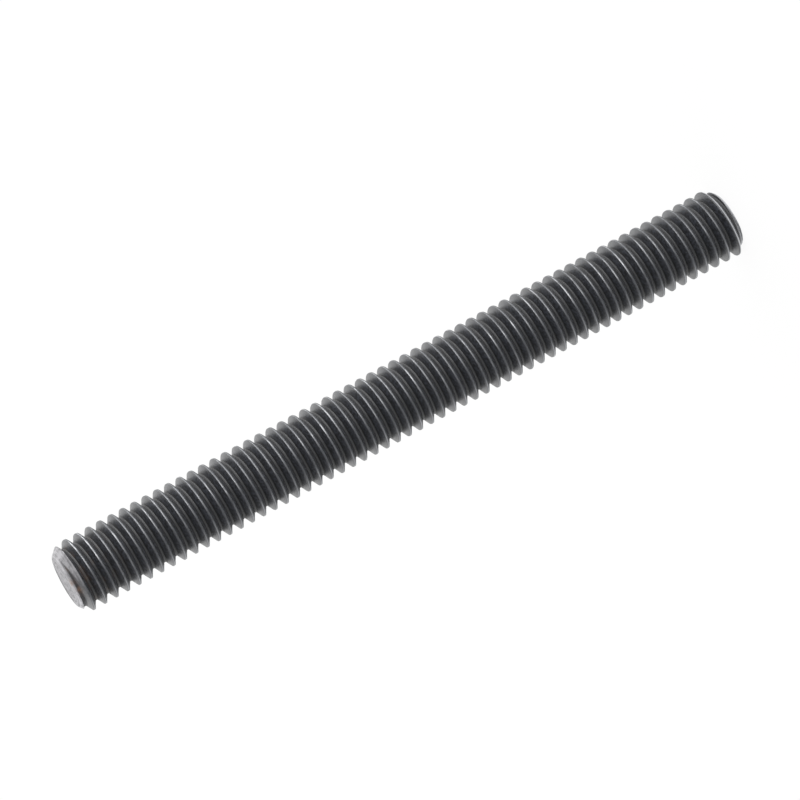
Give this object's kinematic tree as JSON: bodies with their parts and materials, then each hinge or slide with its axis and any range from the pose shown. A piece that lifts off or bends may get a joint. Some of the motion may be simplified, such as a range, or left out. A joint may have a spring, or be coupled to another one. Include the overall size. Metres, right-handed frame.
{
  "type": "threaded stud",
  "caption": "Straight steel stud with a right-hand thread over its whole length, black oxide finish and chamfered bare metal ends, for joining two tapped parts or taking a nut at each end.",
  "frame": {"origin": "on the stud's axis, in the plane of the lower end face", "axes": "+Z along the stud towards its upper end, the end that the picture shows; -Y faces the picture's viewpoint"},
  "size_m": [0.0092, 0.0092, 0.0944],
  "materials": {
    "black_oxide_steel": "black oxide, satin, rubbed bright along the crests, with bare turned metal and a trace of rust at the cut ends"
  },
  "bodies": {
    "root": {"stud": "black_oxide_steel"}
  },
  "joints": []
}
